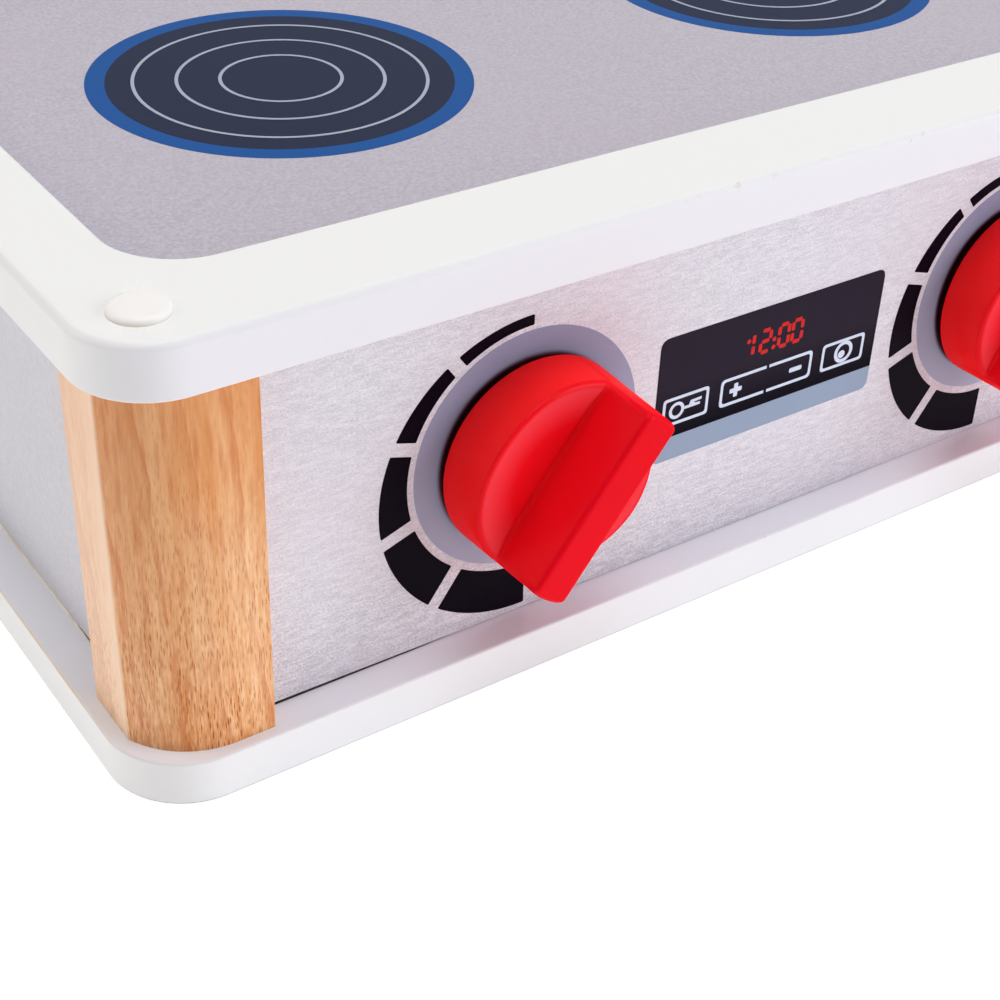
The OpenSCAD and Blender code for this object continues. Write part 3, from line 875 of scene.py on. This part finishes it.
def painted_rim_highlight(u, v):
    """The painted light on a knob's front: least on the bar's top, and a painted highlight of 1 just inside a
    scoop's rim, fading inwards.
    """
    if abs(u) < BAR_HALF + BAR_DRAFT + FILLET:
        return BAR_TOP if abs(u) < BAR_HALF else 0.0
    d = skirt_radius(FLOOR_H) - math.hypot(u, v)
    return max(min((d - RIM_HIGHLIGHT_EDGE) / RIM_HIGHLIGHT_EDGE, 1 - (d - 2 * RIM_HIGHLIGHT_EDGE) / RIM_HIGHLIGHT_W), 0.0)


def grip_lines(reach):
    """Distances across the bar at which the front is cut into strips, close together where it bends."""
    lines = [0, 1.5, 3]
    lines += [BAR_HALF - BAR_EDGE + BAR_EDGE * math.sin(math.radians(10 * i)) for i in range(10)]
    lines += [BAR_HALF + BAR_DRAFT * i / 10 for i in range(1, 11)]
    lines += [BAR_HALF + BAR_DRAFT + FILLET * (1 - math.cos(math.radians(10 * i))) for i in range(1, 10)]
    first = math.asin(lines[-1] / reach)
    count = 44
    lines += [reach * math.sin(first + (math.pi / 2 - first) * i / count) for i in range(1, count)]
    return [-u for u in reversed(lines[1:])] + lines


def knob_front(half=40):
    """The knob's front as (u, v, height) points and faces, with the points of its rim in order."""
    shares = [math.sin(math.pi / 2 * k / half) for k in range(-half, half + 1)]
    reach = skirt_radius(grip_height(KNOB_R))
    grid = []
    for u in grip_lines(reach):
        end = math.sqrt(skirt_radius(grip_height(abs(u))) ** 2 - u * u)
        grid.append([grip_point(u, end * share) for share in shares])
    rows, cols = len(grid), len(shares)
    points = [p for row in grid for p in row]
    faces = [(i * cols + j, (i + 1) * cols + j, (i + 1) * cols + j + 1, i * cols + j + 1)
             for i in range(rows - 1) for j in range(cols - 1)]
    first, last = len(points), len(points) + 1
    points += [grip_point(-reach, 0), grip_point(reach, 0)]
    for j in range(cols - 1):
        faces += [(first, j, j + 1), (last, (rows - 1) * cols + j + 1, (rows - 1) * cols + j)]
    low_side = [i * cols for i in range(rows)]
    high_side = [i * cols + cols - 1 for i in reversed(range(rows))]
    return points, faces, low_side + [last] + high_side + [first]


def knob_back():
    """(radius, height) down the knob's side, round its foot and up into its hollow."""
    side = [(skirt_radius(KNOB_GAP + KNOB_FOOT_R), KNOB_GAP + KNOB_FOOT_R)]
    for i in range(1, 5):
        a = math.radians(22.5 * i)
        side.append((KNOB_R - KNOB_FOOT_R * (1 - math.cos(a)), KNOB_GAP + KNOB_FOOT_R * (1 - math.sin(a))))
    wall_r = KNOB_R - SKIRT_T
    return side + [(wall_r, KNOB_GAP), (wall_r, HOLLOW_H), (KNOB_R / 2, HOLLOW_H)]


def make_knob(side, material):
    """A moulded knob: scooped front with a full-width grip bar, tapered skirt and a hollow underside."""
    points, faces, rim = knob_front()
    front = set(range(len(points))) - set(rim)
    last = rim
    for r, h in knob_back():
        ring = []
        for i in rim:
            direction = Vector(points[i][:2]).normalized()
            ring.append(len(points))
            points.append((direction.x * r, direction.y * r, h))
        n = len(rim)
        faces += [(last[i], last[(i + 1) % n], ring[(i + 1) % n], ring[i]) for i in range(n)]
        last = ring
    faces.append(tuple(last))
    across = Vector((math.cos(KNOB_TURN), 0, -math.sin(KNOB_TURN)))
    along = Vector((math.sin(KNOB_TURN), 0, math.cos(KNOB_TURN)))
    out = Vector((0, -1, 0))
    placed = [AXES[side] + across * u + along * v + out * h for u, v, h in points]
    # The attribute's values for painted light: SKIRT on the side, and on the front the bar's top and the highlight
    # inside the scoops.
    pale = [painted_rim_highlight(u, v) if i in front else SKIRT for i, (u, v, _) in enumerate(points)]
    obj = piece("knob_" + side + "_moulded", placed, faces, material, body=side + "_control",
                wear_and_painted_light=pale, sharp=50)
    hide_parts("knob_" + side)


# ---- Prints ----

def plate(name, shapes, material, onto, lift=0.0, thickness=PRINT_T):
    """Flat shapes of one thickness, raised by lift. onto places a plan point at a height above the plan."""
    verts, faces = [], []
    for shape in shapes:
        outer, holes = (shape["outer"], shape["holes"]) if isinstance(shape, dict) else (shape, [])
        loops = [outer] + holes
        bm = bmesh.new()
        for loop in loops:
            found = [bm.verts.new((x, y, 0)) for x, y in loop]
            for i, v in enumerate(found):
                bm.edges.new((v, found[(i + 1) % len(found)]))
        bmesh.ops.triangle_fill(bm, edges=bm.edges, use_beauty=True, use_dissolve=False)
        if not bm.faces:
            bm.faces.new(bm.verts)
        made = bmesh.ops.extrude_face_region(bm, geom=bm.faces[:])
        for v in made["geom"]:
            if isinstance(v, bmesh.types.BMVert):
                v.co.z = thickness
        bm.verts.index_update()
        faces += [tuple(v.index + len(verts) for v in f.verts) for f in bm.faces]
        verts += [onto(v.co.x, v.co.y, v.co.z + lift) for v in bm.verts]
        bm.free()
    return piece(name, verts, faces, material, sharp=20)


def on_front(x, z, h):
    return x, FACE_Y - h, z


def on_hob(x, y, h):
    return x, y, HOB_Z + h


def annulus(cx, cy, outer, inner, steps=96):
    return {"outer": circle(cx, cy, outer, steps), "holes": [circle(cx, cy, inner, steps)]}


def bar(x0, y0, x1, y1, width):
    """A straight stroke between two points, as a rectangle."""
    a, b = Vector((x0, y0)), Vector((x1, y1))
    n = (b - a).normalized().orthogonal() * width / 2
    return [tuple(a + n), tuple(a - n), tuple(b - n), tuple(b + n)]


def dial_mark(cx, cz, k):
    """One of the dial's marks, between two circles whose centres differ, so that the marks grow downwards."""
    step = MARK_SWEEP / MARKS
    a0, a1 = MARK_START + k * step, MARK_START + (k + 1) * step
    gap0 = 0 if k == 0 else MARK_GAP
    gap1 = 0 if k == MARKS - 1 else MARK_GAP

    def outer_r(a):
        lean = -MARK_OUTER_DROP * math.sin(a)
        return lean + math.sqrt(MARK_OUTER_R ** 2 - MARK_OUTER_DROP ** 2 + lean ** 2)

    def inner_r(a):
        return MARK_INNER_R - MARK_INNER_DROP * math.sin(a)

    def arc(radius_at, start, end, steps=24):
        s = start + math.asin(gap0 / radius_at(start))
        e = end - math.asin(gap1 / radius_at(end))
        angles = [s + (e - s) * i / steps for i in range(steps + 1)]
        return [(radius_at(a) * math.cos(a), radius_at(a) * math.sin(a)) for a in angles]

    points = arc(outer_r, a0, a1) + arc(inner_r, a0, a1)[::-1]
    last = len(points) - 1
    points = soften(points, {i: MARK_CORNER_R for i in (0, last // 2, last // 2 + 1, last)})
    return [(cx + x, cz + z) for x, z in points]


def make_dials(inks):
    for side, axis in AXES.items():
        x, z = axis.x, axis.z
        ring = annulus(x, z, RING_R, RING_INNER_R, 160)
        plate("dial_ring_" + side, [ring], inks["ring"], on_front)
        marks = [dial_mark(x, z, k) for k in range(MARKS)]
        plate("dial_marks_" + side, marks, inks["black"], on_front)


def on_display(x, z, h):
    return on_front(DISPLAY_X + x, z, h)


def rounded_frame(x0, z0, x1, z1, r, gap):
    """The outline of a rounded box as strokes, whole or with a gap in the middle of its top and bottom."""
    def loop(inset, radius):
        left, right, low, high = x0 + inset, x1 - inset, z0 + inset, z1 - inset
        return soften([(left, low), (right, low), (right, high), (left, high)], radius)

    outer, inner = loop(0, r), loop(ICON_LINE, r - ICON_LINE / 2)
    if not gap:
        return [{"outer": outer, "holes": [inner]}]
    mid_x, mid_z = (x0 + x1) / 2, (z0 + z1) / 2

    def half(points, side):
        """The points on one side of the gaps, in order from one gap round to the other."""
        kept = [p for p in points if (p[0] - mid_x) * side > 0]
        if side > 0:
            return kept
        return [p for p in kept if p[1] > mid_z] + [p for p in kept if p[1] < mid_z]

    shapes = []
    for side, start, end, line in ((-1, z1, z0, -ICON_LINE), (1, z0, z1, ICON_LINE)):
        x = mid_x + side * gap / 2
        shapes.append([(x, start)] + half(outer, side) + [(x, end), (x, end - line)] + half(inner, side)[::-1]
                      + [(x, start + line)])
    return shapes


def digit(char, x):
    """Seven-segment strokes of a digit whose left upright is at x."""
    w, z0, z1 = DIGIT_W, DIGIT_Z0, DIGIT_Z1
    mid = (z0 + z1) / 2
    ends = {"a": (0, z1, w, z1), "b": (w, mid, w, z1), "c": (w, z0, w, mid), "d": (0, z0, w, z0),
            "e": (0, z0, 0, mid), "f": (0, mid, 0, z1), "g": (0, mid, w, mid)}
    shapes = []
    for name in SEGMENTS[char]:
        ax, az, bx, bz = ends[name]
        a, b = Vector((x + ax, az)), Vector((x + bx, bz))
        inset = (b - a).normalized() * DIGIT_STROKE * 0.3
        a, b = a + inset, b - inset
        shapes.append(soften(bar(a.x, a.y, b.x, b.y, DIGIT_STROKE), DIGIT_STROKE * 0.45, 3))
    return shapes


def make_display(inks):
    """A dark field over a pale strip, rounded together, with a clock and signs in the field."""
    field = soften([(0, STRIP_Z), (DISPLAY_W, STRIP_Z), (DISPLAY_W, DISPLAY_Z1), (0, DISPLAY_Z1)],
                   {2: DISPLAY_R, 3: DISPLAY_R}, 10)
    strip = soften([(0, DISPLAY_Z0), (DISPLAY_W, DISPLAY_Z0), (DISPLAY_W, STRIP_Z), (0, STRIP_Z)],
                   {0: DISPLAY_R, 1: DISPLAY_R}, 10)
    plate("display_field", [field], inks["display"], on_display)
    plate("display_strip", [strip], inks["strip"], on_display)
    clock = [circle(FLAG_X, FLAG_Z, DOT_R, 16)]
    for char, x in zip(CLOCK, DIGIT_X):
        clock += digit(char, x)
    clock += [circle(COLON_X, z, DOT_R, 16) for z in COLON_Z]
    plate("display_digits", clock, inks["red"], on_display, PRINT_T)
    make_icons(inks["pale"])


def plus_sign(cx, cz):
    """A plus with eased ends, as one outline."""
    w = SIGN_W / 2
    quarter = [(PLUS_REACH, -w), (PLUS_REACH, w), (w, w)]
    points = []
    for turn in range(4):
        c, n = round(math.cos(turn * math.pi / 2)), round(math.sin(turn * math.pi / 2))
        points += [(cx + x * c - z * n, cz + x * n + z * c) for x, z in quarter]
    return soften(points, {i: SIGN_EASE for i in range(12) if i % 3 < 2}, 2)


def make_icons(ink):
    """The display's signs in three frames: a key, a plus and a minus, and a round sign."""
    z = (ICON_Z0 + ICON_Z1) / 2
    shapes = []
    for left, right, corner, gap in ICON_FRAMES:
        shapes += rounded_frame(left, ICON_Z0, right, ICON_Z1, corner, gap)
    bow_x, bow_r, bow_hole_r = KEY_BOW
    shapes.append(annulus(bow_x, z, bow_r, bow_hole_r, 40))
    shapes.append([(x, z + rise) for x, rise in KEY_BLADE])
    shapes.append(plus_sign(PLUS_X, z))
    shapes.append(soften(bar(MINUS_X[0], z, MINUS_X[1], z, SIGN_W), 0.4, 2))
    sign_x, sign_r, sign_hole_r = ROUND_SIGN
    shapes.append(annulus(sign_x, z + 0.1, sign_r, sign_hole_r, 48))
    dot_x, dot_r = ROUND_DOT
    shapes.append(circle(dot_x, z - 0.5, dot_r, 24))
    plate("display_icons", shapes, ink, on_display, PRINT_T)


def make_burners(inks):
    """Two burner prints: a blue edge round a dark field with thin pale rings."""
    field_r = BURNER_R - BURNER_EDGE_W
    for side, x in (("left", -BURNER_X), ("right", BURNER_X)):
        edge = annulus(x, 0, BURNER_R, field_r, 160)
        plate("burner_edge_" + side, [edge], inks["blue"], on_hob)
        plate("burner_field_" + side, [circle(x, 0, field_r, 160)], inks["navy"], on_hob)
        rings = [annulus(x, 0, r, r - BURNER_LINE, 128) for r in BURNER_RINGS]
        plate("burner_rings_" + side, rings, inks["pale_grey"], on_hob, PRINT_T)


# ---- Stage: camera, light and floor ----

def make_camera():
    camera = linked("camera", bpy.data.cameras.new("camera"))
    back = -CAMERA_AHEAD.normalized()
    right = (CAMERA_RIGHT - back * CAMERA_RIGHT.dot(back)).normalized()
    turned = Matrix((right, back.cross(right), back)).transposed()
    camera.matrix_world = Matrix.Translation(CAMERA_AT) @ turned.to_4x4()
    camera.data.lens = LENS
    camera.data.sensor_width = 36
    camera.data.clip_start = 0.01
    bpy.context.scene.camera = camera


def area_light(name, position, power, color):
    light = bpy.data.lights.new(name, "AREA")
    light.shape, light.size, light.energy, light.color = "DISK", LIGHT_SIZE, power, color
    obj = linked(name, light)
    obj.location = position
    obj.rotation_euler = (LIGHT_AIM - Vector(position)).to_track_quat("-Z", "Y").to_euler()


def seen_directly(nodes):
    """1 for rays that show the background itself: camera, glossy and transmission rays."""
    rays = nodes.add("LightPath").outputs
    seen = nodes.math("MAXIMUM", rays["Is Camera Ray"], rays["Is Glossy Ray"])
    return nodes.math("MAXIMUM", seen, rays["Is Transmission Ray"])


def make_world():
    """A white background that only shows itself; the lamps and the floor do the lighting."""
    world = bpy.data.worlds.new("studio")
    bpy.context.scene.world = world
    world.use_nodes = True
    nodes = Nodes(world.node_tree)
    background = nodes.tree.nodes["Background"]
    nodes.feed(background.inputs["Color"], (1, 1, 1, 1))
    nodes.feed(background.inputs["Strength"], seen_directly(nodes))


def floor_material():
    """A glowing white that lights the object from below, keeps its soft shadow and whitens with distance."""
    material = bpy.data.materials.new("studio_floor")
    material.use_nodes = True
    nodes = Nodes(material.node_tree)
    nodes.tree.nodes.clear()

    def diffuse_and_glow(grey, strength):
        diffuse = nodes.add("BsdfDiffuse", {"Color": (grey, grey, grey, 1)}).outputs[0]
        glow = nodes.add("Emission", {"Strength": strength}).outputs[0]
        return nodes.add("AddShader", {0: diffuse, 1: glow}).outputs[0]

    place = nodes.add("TexCoord").outputs["Object"]
    away = nodes.add("VectorMath", {0: place}, operation="LENGTH").outputs["Value"]
    whiter = nodes.span(away, 0.5, 1.5, 0.8, 1.0)
    lamp, backdrop = diffuse_and_glow(0.9, FLOOR_GLOW), diffuse_and_glow(0.4, whiter)
    mixed = nodes.add("MixShader", {"Fac": seen_directly(nodes), 1: lamp, 2: backdrop}).outputs[0]
    nodes.add("OutputMaterial", {"Surface": mixed})
    return material


def make_floor():
    mesh = bpy.data.meshes.new("studio_floor")
    square = [(x * FLOOR_HALF, y * FLOOR_HALF, -FLOOR_DROP) for x, y in ((-1, -1), (1, -1), (1, 1), (-1, 1))]
    mesh.from_pydata(square, [], [(0, 1, 2, 3)])
    mesh.materials.append(floor_material())
    floor = linked("studio_floor", mesh)


def make_stage():
    bpy.context.scene.view_settings.view_transform = "Standard"
    make_camera()
    make_world()
    for light in LIGHTS:
        area_light(*light)
    make_floor()


# ---- Everything in place ----

def dress_nodes(materials):
    """Gives every CAD node the material of its slot."""
    for name, obj in frame["nodes"].items():
        slot = next(p["material_slot"] for p in frame["record"]["subparts"] if p["node"] == name)
        obj.data.materials.clear()
        obj.data.materials.append(materials[slot])


make_stage()
materials = {
    "white_board": painted_board(),
    "beech": beech(),
    "front_print": front_print(),
    "side_print": side_paint(),
    "hob_print": hob_print(),
    "cleat_wood": softwood(),
    "screw_steel": steel("zinc_screws"),
    "cap_plastic": moulded("cap_white_plastic", (246, 242, 240), 0.4),
    "red_plastic": red_plastic(),
    "spindle_steel": steel("spindle_steel"),
    "felt": felt(),
    "housing_plastic": moulded("housing_grey_plastic", (214, 214, 212), 0.5),
    "wheel_plastic": moulded("wheel_ivory_plastic", (226, 220, 200), 0.45),
    "spring_steel": steel("spring_steel", (170, 170, 176)),
}
inks = {
    "ring": ring_print(),
    "black": printed_ink("ink_black", (10, 3, 15)),
    # Painted sheen: the display's field is lighter towards its top, near black lower down.
    "display": printed_ink("ink_display", (41, 34, 47), low=(7, 2, 14), span=(0.049, 0.062)),
    "strip": printed_ink("ink_strip_blue_grey", (149, 163, 186)),
    "red": printed_ink("ink_red", (206, 46, 44)),
    "pale": printed_ink("ink_pale", (214, 222, 240)),
    "blue": printed_ink("ink_blue", (36, 84, 150)),
    "navy": printed_ink("ink_navy", (38, 44, 66)),
    "pale_grey": printed_ink("ink_pale_grey", (170, 178, 194)),
}
dress_nodes(materials)
make_base(materials["white_board"])
make_frame(materials["white_board"])
make_posts(materials["beech"])
make_front_panel(materials["front_print"])
make_left_panel(materials["side_print"])
make_sills(materials["felt"], raw_edge())
make_caps(materials["cap_plastic"])
for side in AXES:
    make_knob(side, materials["red_plastic"])
make_dials(inks)
make_display(inks)
make_burners(inks)
